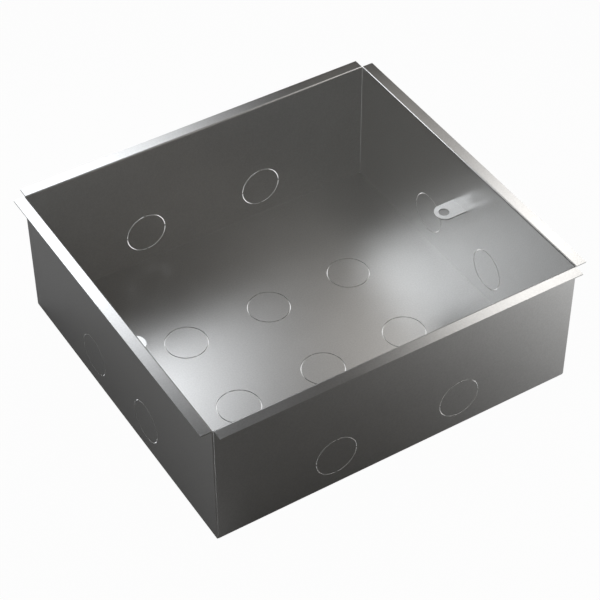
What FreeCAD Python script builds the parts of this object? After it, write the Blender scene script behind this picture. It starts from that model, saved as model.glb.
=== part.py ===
import FreeCAD, Part
import math
import os

from FreeCAD import Vector

# A steel floor box that hangs by its flange in a floor panel. The whole tray is folded from one
# sheet, so its corners are open seams, and two fixing tabs are welded to the insides of its side walls.
# Origin at the centre of the underside, X across the box, Y from front to back, Z up. Millimetres.

# The sheet, and the radius on the inside of every fold
sheet = 1.0
fold_inside = 0.1
fold_outside = fold_inside + sheet

# The tray over the outside of its walls, its height to the top of the flange,
# and how far the flange stands out from the wall
tray_width = 286.0
tray_depth = 265.0
tray_height = 105.0
flange_reach = 8.0

# Each seam: the side walls lap part of the way over the ends of the front and back walls, which
# stop a gap short of them, and a round relief is punched from the corner of the floor
seam_lap = 0.4
seam_gap = 0.25
relief_radius = 0.9

# A knockout: the hole it leaves for a 32 mm conduit, the slit cut round it and the bridges that hold it
knockout_hole = 32.5
slit_width = 0.6
bridge_width = 1.1
bridge_pairs = 2

# Where the knockouts lie: their spacing along each panel, and the height of those in the walls
knockout_height = 27.5
front_spacing = 100.0
side_spacing = 75.0
wall_count = 2
floor_spacing_x = 70.0
floor_spacing_y = 75.0
floor_columns = 3
floor_rows = 2

# A fixing tab: its flat sheet, its width, how far it reaches from the wall, its screw hole and how
# far that stands off the wall, and how far the tab's top lies below the top of the flange
tab_sheet = 1.0
tab_width = 16.0
tab_reach = 21.3
tab_hole = 8.0
tab_hole_offset = 14.0
tab_drop = 42.5

# The outer faces of the walls, measured from the middle of the box
side_face = tray_width / 2
front_face = tray_depth / 2


def line(start, end):
    """A straight edge of a section, between two (outwards, up) points."""
    return Part.LineSegment(Vector(start[0], 0, start[1]), Vector(end[0], 0, end[1])).toShape()


def quarter(centre, radius, start_deg):
    """A quarter round edge of a section, with its first and last (outwards, up) points."""
    points = []
    for turn in (0, 45, 90):
        angle = math.radians(start_deg + turn)
        points.append((centre[0] + radius * math.cos(angle), centre[1] + radius * math.sin(angle)))
    edge = Part.Arc(*[Vector(out, 0, up) for out, up in points]).toShape()
    return edge, points[0], points[-1]


def side_section(outer_face):
    """The closed section of one side: fold, wall, fold and flange, at its distance from the middle."""
    lower = (outer_face - fold_outside, fold_outside)
    upper = (outer_face + fold_inside, tray_height - fold_outside)
    lip = outer_face + flange_reach
    lower_out, floor_under, wall_out_low = quarter(lower, fold_outside, -90)
    lower_in, floor_top, wall_in_low = quarter(lower, fold_inside, -90)
    upper_out, flange_under, wall_out_high = quarter(upper, fold_inside, 90)
    upper_in, flange_top, wall_in_high = quarter(upper, fold_outside, 90)
    lip_under = (lip, flange_under[1])
    lip_top = (lip, flange_top[1])
    edges = [
        lower_out,
        line(wall_out_low, wall_out_high),
        upper_out,
        line(flange_under, lip_under),
        line(lip_under, lip_top),
        line(lip_top, flange_top),
        upper_in,
        line(wall_in_high, wall_in_low),
        lower_in,
        line(floor_top, floor_under),
    ]
    return Part.Face(Part.Wire(Part.__sortEdges__(edges)))


def side(outer_face, half_length, heading):
    """One side of the tray, folded up from the floor, facing the heading in degrees from +X."""
    solid = side_section(outer_face).extrude(Vector(0, 2 * half_length, 0))
    solid.translate(Vector(0, -half_length, 0))
    solid.rotate(Vector(0, 0, 0), Vector(0, 0, 1), heading)
    return solid


def corner_reliefs():
    """The round reliefs in the corners of the floor, each about the line where two walls would meet."""
    cutters = []
    for sign_x in (-1, 1):
        for sign_y in (-1, 1):
            foot = Vector(sign_x * (side_face - sheet), sign_y * (front_face - sheet), -sheet)
            cutters.append(Part.makeCylinder(relief_radius, 3 * sheet, foot))
    return cutters


def folded_tray():
    """The floor with its four sides folded up, before the knockouts are cut."""
    side_half_length = front_face - sheet + seam_lap
    front_half_length = side_face - sheet - seam_gap
    floor_half_x = side_face - fold_outside
    floor_half_y = front_face - fold_outside
    floor = Part.makeBox(2 * floor_half_x, 2 * floor_half_y, sheet, Vector(-floor_half_x, -floor_half_y, 0))
    floor = floor.cut(corner_reliefs())
    sides = [
        side(side_face, side_half_length, 0),
        side(front_face, front_half_length, 90),
        side(side_face, side_half_length, 180),
        side(front_face, front_half_length, 270),
    ]
    return floor.fuse(sides).removeSplitter()


def knockout_slit():
    """The slit round one knockout, cut clean through a sheet whose faces are at z 0 and z sheet."""
    hole_radius = knockout_hole / 2
    start = Vector(0, 0, -sheet)
    ring = Part.makeCylinder(hole_radius, 3 * sheet, start)
    ring = ring.cut(Part.makeCylinder(hole_radius - slit_width, 3 * sheet, start))
    bridge = Part.makeBox(
        2 * knockout_hole, bridge_width, 3 * sheet, Vector(-knockout_hole, -bridge_width / 2, -sheet)
    )
    for pair in range(bridge_pairs):
        turned = bridge.copy()
        turned.rotate(Vector(0, 0, 0), Vector(0, 0, 1), pair * 180 / bridge_pairs)
        ring = ring.cut(turned)
    return ring


def row(count, spacing):
    """Places along a row of equal spacing, centred on zero."""
    return [(index - (count - 1) / 2) * spacing for index in range(count)]


def knockout_slits():
    """The slits of every knockout, in the floor and in the four walls."""
    slits = []
    for x in row(floor_columns, floor_spacing_x):
        for y in row(floor_rows, floor_spacing_y):
            slit = knockout_slit()
            slit.translate(Vector(x, y, 0))
            slits.append(slit)
    walls = [
        (side_face, side_spacing, 0),
        (front_face, front_spacing, 90),
        (side_face, side_spacing, 180),
        (front_face, front_spacing, 270),
    ]
    for outer_face, spacing, heading in walls:
        for along in row(wall_count, spacing):
            slit = knockout_slit()
            slit.rotate(Vector(0, 0, 0), Vector(0, 1, 0), 90)
            slit.translate(Vector(outer_face - sheet, along, knockout_height))
            slit.rotate(Vector(0, 0, 0), Vector(0, 0, 1), heading)
            slits.append(slit)
    return slits


def tray():
    """The folded tray with the slits of its knockouts, one solid."""
    return folded_tray().cut(knockout_slits())


def fixing_tab(heading):
    """A flat tab with a full round end, square to the side wall that faces the heading."""
    root = side_face - sheet
    hole_at = root - tab_hole_offset
    end_radius = tab_width / 2
    end_at = root - tab_reach + end_radius
    underside = tray_height - tab_drop - tab_sheet
    arm = Part.makeBox(root - end_at, tab_width, tab_sheet, Vector(end_at, -end_radius, underside))
    end = Part.makeCylinder(end_radius, tab_sheet, Vector(end_at, 0, underside))
    hole = Part.makeCylinder(tab_hole / 2, 3 * tab_sheet, Vector(hole_at, 0, underside - tab_sheet))
    tab = arm.fuse(end).removeSplitter().cut(hole)
    tab.rotate(Vector(0, 0, 0), Vector(0, 0, 1), heading)
    return tab


nodes = {
    "folded_tray": tray(),
    "fixing_tab_right": fixing_tab(0),
    "fixing_tab_left": fixing_tab(180),
}

os.makedirs("parts", exist_ok=True)
for name, shape in nodes.items():
    shape.exportStep("parts/" + name + ".step")
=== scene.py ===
from math import atan2, cos, pi, radians, sin, sqrt

import bmesh
import bpy
from mathutils import Matrix, Quaternion, Vector


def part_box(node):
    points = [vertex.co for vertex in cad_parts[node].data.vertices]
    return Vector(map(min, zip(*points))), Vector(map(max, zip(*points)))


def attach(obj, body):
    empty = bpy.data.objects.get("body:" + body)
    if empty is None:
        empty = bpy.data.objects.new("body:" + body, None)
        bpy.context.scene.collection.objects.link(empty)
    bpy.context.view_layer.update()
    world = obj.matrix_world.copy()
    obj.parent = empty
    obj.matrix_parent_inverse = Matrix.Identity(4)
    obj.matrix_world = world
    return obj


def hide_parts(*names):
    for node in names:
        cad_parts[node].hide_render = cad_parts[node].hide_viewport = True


# An open floor box: a tray folded from one sheet of galvanised steel, with two fixing tabs inside.
# Metres, +Z up, +X across the box and +Y from its front wall to its back wall.
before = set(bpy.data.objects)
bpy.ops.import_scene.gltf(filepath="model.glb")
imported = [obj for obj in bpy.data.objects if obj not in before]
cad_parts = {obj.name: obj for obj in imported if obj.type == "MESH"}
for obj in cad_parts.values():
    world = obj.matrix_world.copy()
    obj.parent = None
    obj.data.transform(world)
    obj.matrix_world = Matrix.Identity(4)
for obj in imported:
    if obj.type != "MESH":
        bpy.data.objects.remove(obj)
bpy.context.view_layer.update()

# The folded tray
# One blank of 1 mm galvanised sheet, laser cut with the slits of its knockouts and folded up on a
# press brake: floor, four walls, and a flange outwards round the top. Its corners stay open seams.
sheet = 0.001
fold_inside = 0.0001
fold_outside = fold_inside + sheet
fold_steps = 8
flange_reach = 0.008
seam_lap = 0.0004
seam_gap = 0.00025
relief_radius = 0.0009
relief_steps = 6

knockout_radius = 0.01625
slit_width = 0.0006
bridge_width = 0.0011
slit_count = 4
slit_steps = 16
knockout_height = 0.0275
front_spacing = 0.100
side_spacing = 0.075
floor_spacing_x = 0.070
floor_spacing_y = 0.075

tray_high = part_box("folded_tray")[1]
tray_top = tray_high.z
side_face = tray_high.x - flange_reach
front_face = tray_high.y - flange_reach
side_inner = side_face - sheet
front_inner = front_face - sheet

quarter_turn = radians(90)
same_place = 1e-6


def straight(bm, *points):
    """Draws straight edges through the points of a panel's outline, while the panel lies flat."""
    ends = [bm.verts.new((x, y, 0)) for x, y in points]
    for start, end in zip(ends, ends[1:]):
        bm.edges.new((start, end))


def relief(bm, corner, start, end):
    """Draws the round edge of a relief, about the corner where the folds of two walls would meet."""
    first = Vector(start) - Vector(corner)
    last = Vector(end) - Vector(corner)
    turn = atan2(first.cross(last), first.dot(last))
    seed = bm.verts.new((*start, 0))
    bmesh.ops.spin(bm, geom=[seed], cent=(*corner, 0), axis=(0, 0, 1), angle=turn, steps=relief_steps)


def slits(bm, places):
    """Draws the outlines of the slits round each knockout, and leaves no faces in them."""
    bridge_turn = bridge_width / knockout_radius
    slit_turn = 2 * pi / slit_count - bridge_turn
    for x, y in places:
        centre = Vector((x, y, 0))
        for slit in range(slit_count):
            heading = 2 * pi / slit_count * slit + bridge_turn / 2
            outwards = Vector((cos(heading), sin(heading), 0))
            inner = bm.verts.new(centre + outwards * (knockout_radius - slit_width))
            outer = bm.verts.new(centre + outwards * knockout_radius)
            end = bm.edges.new((inner, outer))
            bmesh.ops.spin(bm, geom=[end], cent=centre, axis=(0, 0, 1), angle=slit_turn, steps=slit_steps)
    bmesh.ops.delete(bm, geom=bm.faces[:], context="FACES_KEEP_BOUNDARY")


def close_panel(bm, mirror_axes):
    """Mirrors a part of an outline into the whole one, and fills it round the slits."""
    for axis in mirror_axes:
        bmesh.ops.mirror(bm, geom=bm.verts[:] + bm.edges[:], axis=axis)
    bmesh.ops.remove_doubles(bm, verts=bm.verts, dist=same_place)
    bmesh.ops.triangle_fill(bm, edges=bm.edges, use_beauty=True, normal=(0, 0, 1))


def fold(bm, on_edge, centre):
    """Draws a quarter turn of bent sheet out of the edge along X through a point, about the centre."""
    edges = [
        edge for edge in bm.edges
        if all((vert.co - on_edge).yz.length < same_place for vert in edge.verts)
    ]
    bmesh.ops.spin(bm, geom=edges, cent=centre, axis=(1, 0, 0), angle=quarter_turn, steps=fold_steps)


# One side at a time, made as the front: its wall lies flat for its outline and its slits, and is
# then stood up. The fold below it and the flange above it are drawn out of its two long edges. The
# list gives its inner face, corner and half length from the middle, the spacing of its knockouts,
# and its turn from the front in degrees
tray = bmesh.new()
scratch = bpy.data.meshes.new("scratch")
floor_x = side_inner - fold_inside
floor_y = front_inner - fold_inside
relief_cut = sqrt(relief_radius ** 2 - fold_inside ** 2)
fold_top = tray_top - fold_outside
flange_flat = flange_reach + sheet - fold_outside
walls = [
    (front_inner, side_inner, side_inner - seam_gap, front_spacing, 0),
    (side_inner, front_inner, front_inner + seam_lap, side_spacing, 90),
    (front_inner, side_inner, side_inner - seam_gap, front_spacing, 180),
    (side_inner, front_inner, front_inner + seam_lap, side_spacing, 270),
]
for inner_face, corner, half_length, spacing, heading in walls:
    side = bmesh.new()
    slits(side, [(spacing / 2, knockout_height)])
    straight(
        side, (0, fold_outside), (corner - relief_cut, fold_outside), (half_length, fold_outside),
        (half_length, fold_top), (0, fold_top),
    )
    close_panel(side, "X")
    stand_up = Matrix.Rotation(quarter_turn, 3, "X")
    bmesh.ops.rotate(side, verts=side.verts, cent=(0, 0, 0), matrix=stand_up)
    bmesh.ops.translate(side, verts=side.verts, vec=(0, -inner_face, 0))
    fold(side, Vector((0, -inner_face, fold_outside)), (0, fold_inside - inner_face, fold_outside))
    fold(side, Vector((0, -inner_face, fold_top)), (0, -inner_face - fold_outside, fold_top))
    lip = [
        edge for edge in side.edges
        if all(abs(vert.co.z - tray_top) < same_place for vert in edge.verts)
    ]
    drawn = bmesh.ops.extrude_edge_only(side, edges=lip)["geom"]
    drawn_verts = [item for item in drawn if isinstance(item, bmesh.types.BMVert)]
    bmesh.ops.translate(side, verts=drawn_verts, vec=(0, -flange_flat, 0))
    turn_round = Matrix.Rotation(radians(heading), 3, "Z")
    bmesh.ops.rotate(side, verts=side.verts, cent=(0, 0, 0), matrix=turn_round)
    side.to_mesh(scratch)
    tray.from_mesh(scratch)
    side.free()

# The floor, between the folds, with a relief cut out of each corner
panel = bmesh.new()
slits(panel, [(floor_spacing_x, floor_spacing_y / 2), (0, floor_spacing_y / 2)])
straight(panel, (floor_x, 0), (floor_x, front_inner - relief_cut))
relief(
    panel, (side_inner, front_inner),
    (floor_x, front_inner - relief_cut), (side_inner - relief_cut, floor_y),
)
straight(panel, (side_inner - relief_cut, floor_y), (0, floor_y))
close_panel(panel, "XY")
bmesh.ops.translate(panel, verts=panel.verts, vec=(0, 0, sheet))
panel.to_mesh(scratch)
tray.from_mesh(scratch)
panel.free()
bpy.data.meshes.remove(scratch)

# Welded into one skin, the top side of the sheet, then given its thickness downwards and outwards.
# The faces through the thickness are cut edges. The small ones, in the slits and at the corners, get
# the material of a bright cut edge, and the long rims of the blank stay zinc grey
longest_cut = 0.006
flat_panel = cos(radians(1))
soft_edge = radians(30)
bmesh.ops.remove_doubles(tray, verts=tray.verts, dist=same_place)
bmesh.ops.recalc_face_normals(tray, faces=tray.faces)
floor_face = min(tray.faces, key=lambda face: face.calc_center_median().z)
if floor_face.normal.z < 0:
    bmesh.ops.reverse_faces(tray, faces=tray.faces)
top_skin = set(tray.verts)
bmesh.ops.solidify(tray, geom=tray.faces, thickness=sheet)
for face in tray.faces:
    face.smooth = max(abs(part) for part in face.normal) < flat_panel
    through = 0 < sum(vert in top_skin for vert in face.verts) < len(face.verts)
    face.material_index = int(through and face.calc_perimeter() < longest_cut)
for edge in tray.edges:
    edge.smooth = edge.calc_face_angle(0) < soft_edge
tray_mesh = bpy.data.meshes.new("folded_sheet")
tray.to_mesh(tray_mesh)
tray.free()
folded_sheet = bpy.data.objects.new("folded_sheet", tray_mesh)
bpy.context.scene.collection.objects.link(folded_sheet)


def srgb(code):
    """Turns an sRGB hex colour into the linear colour that a shader takes."""
    parts = [int(code[place:place + 2], 16) / 255 for place in (1, 3, 5)]
    linear = [part / 12.92 if part <= 0.04045 else ((part + 0.055) / 1.055) ** 2.4 for part in parts]
    return (*linear, 1)


def add(tree, kind, inputs, **settings):
    """Adds a node with its settings, and gives each named input a value or links it to a socket."""
    made = tree.nodes.new(kind)
    for name, value in settings.items():
        setattr(made, name, value)
    for name, value in inputs.items():
        if isinstance(value, bpy.types.NodeSocket):
            tree.links.new(value, made.inputs[name])
        else:
            made.inputs[name].default_value = value
    return made


# Galvanised sheet steel, skin-passed: a satin grey zinc face with a soft, cloudy tarnish. Its grain is
# drawn a few times coarser than the real one, so that it shows as a faint, even mottle at this distance
grain_size = 0.0011
grain_height = 0.00005
cloud_size = 0.022
zinc = bpy.data.materials.new("galvanised_sheet_steel")
zinc.use_nodes = True
tree = zinc.node_tree
tree.nodes.clear()
place = add(tree, "ShaderNodeTexCoord", {}).outputs["Object"]
grain = add(tree, "ShaderNodeTexNoise", {"Vector": place, "Scale": 1 / grain_size, "Detail": 1.0})
cloud = add(tree, "ShaderNodeTexNoise", {"Vector": place, "Scale": 1 / cloud_size, "Detail": 3.0})
tarnish = add(tree, "ShaderNodeMix", {
    "Factor": cloud.outputs["Fac"], "A": srgb("#d0d0cf"), "B": srgb("#d6d6d5"),
}, data_type="RGBA")
speck = add(tree, "ShaderNodeMix", {
    "Factor": grain.outputs["Fac"], "A": srgb("#e9e9e9"), "B": srgb("#ffffff"),
}, data_type="RGBA")
colour = add(tree, "ShaderNodeMix", {
    "Factor": 1.0, "A": tarnish.outputs[2], "B": speck.outputs[2],
}, data_type="RGBA", blend_type="MULTIPLY")
roughness = add(tree, "ShaderNodeMapRange", {
    "Value": cloud.outputs["Fac"], "From Min": 0.3, "From Max": 0.7, "To Min": 0.295, "To Max": 0.315,
})
bump = add(tree, "ShaderNodeBump", {
    "Height": grain.outputs["Fac"], "Strength": 1.0, "Distance": grain_height,
})
steel = add(tree, "ShaderNodeBsdfPrincipled", {
    "Base Color": colour.outputs[2], "Metallic": 1.0,
    "Roughness": roughness.outputs["Result"], "Normal": bump.outputs["Normal"],
})
add(tree, "ShaderNodeOutputMaterial", {"Surface": steel.outputs["BSDF"]})
tray_mesh.materials.append(zinc)

# The laser-cut edge of the sheet: bare steel cut under nitrogen, brighter than the zinc face. Its fine
# ribs scatter part of the light that runs between the sides of a slit, so a slit reads as a light ring
rib_size = 0.0003
rib_height = 0.00001
cut = bpy.data.materials.new("laser_cut_steel_edge")
cut.use_nodes = True
tree = cut.node_tree
tree.nodes.clear()
place = add(tree, "ShaderNodeTexCoord", {}).outputs["Object"]
ribs = add(tree, "ShaderNodeTexNoise", {"Vector": place, "Scale": 1 / rib_size, "Detail": 2.0})
bare = add(tree, "ShaderNodeMix", {
    "Factor": ribs.outputs["Fac"], "A": srgb("#ececeb"), "B": srgb("#f8f8f7"),
}, data_type="RGBA")
bump = add(tree, "ShaderNodeBump", {
    "Height": ribs.outputs["Fac"], "Strength": 0.3, "Distance": rib_height,
})
edge_steel = add(tree, "ShaderNodeBsdfPrincipled", {
    "Base Color": bare.outputs[2], "Metallic": 0.7, "Roughness": 0.28, "Normal": bump.outputs["Normal"],
})
add(tree, "ShaderNodeOutputMaterial", {"Surface": edge_steel.outputs["BSDF"]})
tray_mesh.materials.append(cut)
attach(folded_sheet, "root")
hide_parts("folded_tray")

# The two fixing tabs
# Small flat plates of the same galvanised sheet, with a round end and one hole for the screw of a lid
# or frame. Each is welded by its square end to the inside of a side wall, halfway along it.
for name in ("fixing_tab_right", "fixing_tab_left"):
    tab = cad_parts[name]
    tab.data.materials.clear()
    tab.data.materials.append(zinc)

# The floor under the box
# Matt white background paper, which isn't part of the object, nearly even white to the camera. In the
# metal it shows a painted glow: dim as painted shade, brighter to the right as a painted pool of light,
# and white in a painted strip at the back that lights the slits there.
paper_reach = 3.0
even_share = 0.97
# Where the painted white strip at the back begins to show and where it is full, to the front, left and
# right
strip_front = 0.12
strip_front_white = 0.16
strip_left = -0.11
strip_left_white = -0.08
strip_right = 0.1
strip_right_white = 0.08
# The painted slope of light: its dimmest line, then where and how high its rise ends to the right and to
# the left
dimmest = -0.11
right_end = 0.24
right_level = 0.92
right_power = 3.3
left_end = -0.41
left_level = 0.28

floor_mesh = bpy.data.meshes.new("pale_floor")
ground = bmesh.new()
bmesh.ops.create_grid(ground, x_segments=1, y_segments=1, size=paper_reach)
ground.to_mesh(floor_mesh)
ground.free()
floor = bpy.data.objects.new("pale_floor", floor_mesh)
bpy.context.scene.collection.objects.link(floor)

paper = bpy.data.materials.new("white_paper")
paper.use_nodes = True
tree = paper.node_tree
tree.nodes.clear()
rays = add(tree, "ShaderNodeLightPath", {})
paper_tone = add(tree, "ShaderNodeMix", {
    "Factor": rays.outputs["Is Camera Ray"], "A": srgb("#9a9a9a"), "B": srgb("#f4f4f4"),
}, data_type="RGBA")
matt = add(tree, "ShaderNodeBsdfDiffuse", {"Color": paper_tone.outputs[2]})
glow = add(tree, "ShaderNodeEmission", {"Color": (1, 1, 1, 1), "Strength": 1.0})
place = add(tree, "ShaderNodeTexCoord", {}).outputs["Object"]
spread = add(tree, "ShaderNodeSeparateXYZ", {"Vector": place})
across = spread.outputs["X"]

# The painted glow that the metal sees in the paper: the painted white strip at the back, with its soft
# edges, or else a painted slope of light that rises to the right and to the left from its dimmest line of
# painted shade
in_front = add(tree, "ShaderNodeMapRange", {
    "Value": spread.outputs["Y"], "From Min": strip_front, "From Max": strip_front_white,
})
in_left = add(tree, "ShaderNodeMapRange", {
    "Value": across, "From Min": strip_left, "From Max": strip_left_white,
})
in_right = add(tree, "ShaderNodeMapRange", {
    "Value": across, "From Min": strip_right, "From Max": strip_right_white,
})
strip_width = add(tree, "ShaderNodeMath", {
    0: in_left.outputs["Result"], 1: in_right.outputs["Result"],
}, operation="MULTIPLY")
strip = add(tree, "ShaderNodeMath", {
    0: in_front.outputs["Result"], 1: strip_width.outputs["Value"],
}, operation="MULTIPLY")
to_right = add(tree, "ShaderNodeMapRange", {
    "Value": across, "From Min": dimmest, "From Max": right_end,
})
steeper = add(tree, "ShaderNodeMath", {
    0: to_right.outputs["Result"], 1: right_power,
}, operation="POWER")
to_left = add(tree, "ShaderNodeMapRange", {
    "Value": across, "From Min": dimmest, "From Max": left_end, "To Max": left_level,
})
painted_light_slope = add(tree, "ShaderNodeMath", {
    0: steeper.outputs["Value"], 1: right_level, 2: to_left.outputs["Result"],
}, operation="MULTIPLY_ADD")
# The painted glow is the brighter of the painted white strip and the painted slope of light
painted_glow = add(tree, "ShaderNodeMath", {
    0: strip.outputs["Value"], 1: painted_light_slope.outputs["Value"],
}, operation="MAXIMUM")
mirrored = add(tree, "ShaderNodeMath", {
    0: rays.outputs["Is Glossy Ray"], 1: painted_glow.outputs["Value"],
}, operation="MULTIPLY")

# Seen straight or through glass it is nearly even white, and the rest is lit paper with its shadow
direct = add(tree, "ShaderNodeMath", {
    0: rays.outputs["Is Camera Ray"], 1: rays.outputs["Is Transmission Ray"],
}, operation="MAXIMUM")
seen = add(tree, "ShaderNodeMath", {
    0: direct.outputs["Value"], 1: even_share, 2: mirrored.outputs["Value"],
}, operation="MULTIPLY_ADD")
mixed = add(tree, "ShaderNodeMixShader", {
    "Fac": seen.outputs["Value"], 1: matt.outputs["BSDF"], 2: glow.outputs["Emission"],
})
add(tree, "ShaderNodeOutputMaterial", {"Surface": mixed.outputs["Shader"]})
floor_mesh.materials.append(paper)

# The studio lights
# Ten round soft lamps that fade out towards the rim. Each has an azimuth from +Y towards +X and an
# elevation in degrees, a distance from the box and a radius in metres, then its brightness and tint.
middle = Vector((0, 0, 0.05))
lamps = {
    "behind": (-7, 43, 0.40, 0.18, 3.5, "#f8fbff"),
    "behind_right": (17, 43, 0.30, 0.105, 0.7, "#fcfdff"),
    "behind_low": (14, 32, 0.55, 0.07, 0.8, "#fcfdff"),
    "right_behind": (48, 39, 0.30, 0.105, 0.7, "#fffaf4"),
    "right": (71.5, 41.7, 0.454, 0.154, 2.9, "#fffdfb"),
    "right_high": (97, 53, 0.295, 0.14, 0.6, "#fffdfa"),
    "front": (166, 40, 0.54, 0.12, 0.25, "#fffaf4"),
    "front_low": (155, 16, 0.45, 0.2, 2.0, "#fffaf4"),
    "over_camera": (-131, 52, 0.60, 0.45, 0.85, "#fffefc"),
    "left": (-62, 50, 1.5, 0.85, 1.15, "#fcfdff"),
}
for name, (azimuth, elevation, distance, radius, brightness, tint) in lamps.items():
    around = radians(azimuth)
    height = radians(elevation)
    outwards = Vector((sin(around) * cos(height), cos(around) * cos(height), sin(height)))
    lamp_data = bpy.data.lights.new(name, "AREA")
    lamp_data.shape = "DISK"
    lamp_data.size = 2 * radius
    lamp_data.energy = pi * pi * radius ** 2 * brightness
    lamp_data.color = srgb(tint)[:3]
    lamp_data.use_nodes = True
    tree = lamp_data.node_tree
    tree.nodes.clear()
    spot = add(tree, "ShaderNodeNewGeometry", {}).outputs["Parametric"]
    from_centre = add(tree, "ShaderNodeVectorMath", {0: spot, 1: (0.5, 0.5, 0)}, operation="DISTANCE")
    soft = add(tree, "ShaderNodeMapRange", {
        "Value": from_centre.outputs["Value"],
        "From Min": 0.0, "From Max": 0.5, "To Min": 1.0, "To Max": 0.0,
    }, interpolation_type="SMOOTHSTEP")
    shine = add(tree, "ShaderNodeEmission", {"Strength": soft.outputs["Result"]})
    add(tree, "ShaderNodeOutputLight", {"Surface": shine.outputs["Emission"]})
    lamp = bpy.data.objects.new(name, lamp_data)
    lamp.location = middle + outwards * distance
    lamp.rotation_mode = "QUATERNION"
    lamp.rotation_quaternion = (-outwards).to_track_quat("-Z", "Y")
    lamp.visible_camera = False
    bpy.context.scene.collection.objects.link(lamp)

# The room round the box: white to the camera, and nearly dark to the metal, because the dark walls
# show that nothing white hangs over the box
room_level = 0.03
white_level = 1.0
world = bpy.data.worlds.new("studio")
bpy.context.scene.world = world
world.use_nodes = True
tree = world.node_tree
tree.nodes.clear()
rays = add(tree, "ShaderNodeLightPath", {})
level = add(tree, "ShaderNodeMapRange", {
    "Value": rays.outputs["Is Camera Ray"], "To Min": room_level, "To Max": white_level,
})
tone = add(tree, "ShaderNodeMix", {
    "Factor": rays.outputs["Is Camera Ray"], "A": srgb("#fff4ea"), "B": srgb("#ffffff"),
}, data_type="RGBA")
sky = add(tree, "ShaderNodeBackground", {"Color": tone.outputs[2], "Strength": level.outputs["Result"]})
add(tree, "ShaderNodeOutputWorld", {"Surface": sky.outputs["Background"]})

# The camera
# It looks down into the box from in front of it and to its left, with a long lens. Its azimuth is
# counted from -Y, its distance is from the point that it aims at, and it is rolled very slightly.
lens = 117.58
aim = Vector((-0.00459, -0.01365, 0.052))
camera_azimuth = radians(-31.804)
camera_elevation = radians(43.768)
camera_roll = radians(-0.19)
camera_distance = 1.3817
camera_data = bpy.data.cameras.new("camera")
camera_data.sensor_width = 36
camera_data.lens = lens
camera = bpy.data.objects.new("camera", camera_data)
bpy.context.scene.collection.objects.link(camera)
back = Vector((
    sin(camera_azimuth) * cos(camera_elevation),
    -cos(camera_azimuth) * cos(camera_elevation),
    sin(camera_elevation),
))
camera.location = aim + back * camera_distance
camera.rotation_mode = "QUATERNION"
camera.rotation_quaternion = (-back).to_track_quat("-Z", "Y") @ Quaternion((0, 0, 1), camera_roll)
bpy.context.scene.camera = camera
bpy.context.scene.view_settings.view_transform = "Standard"
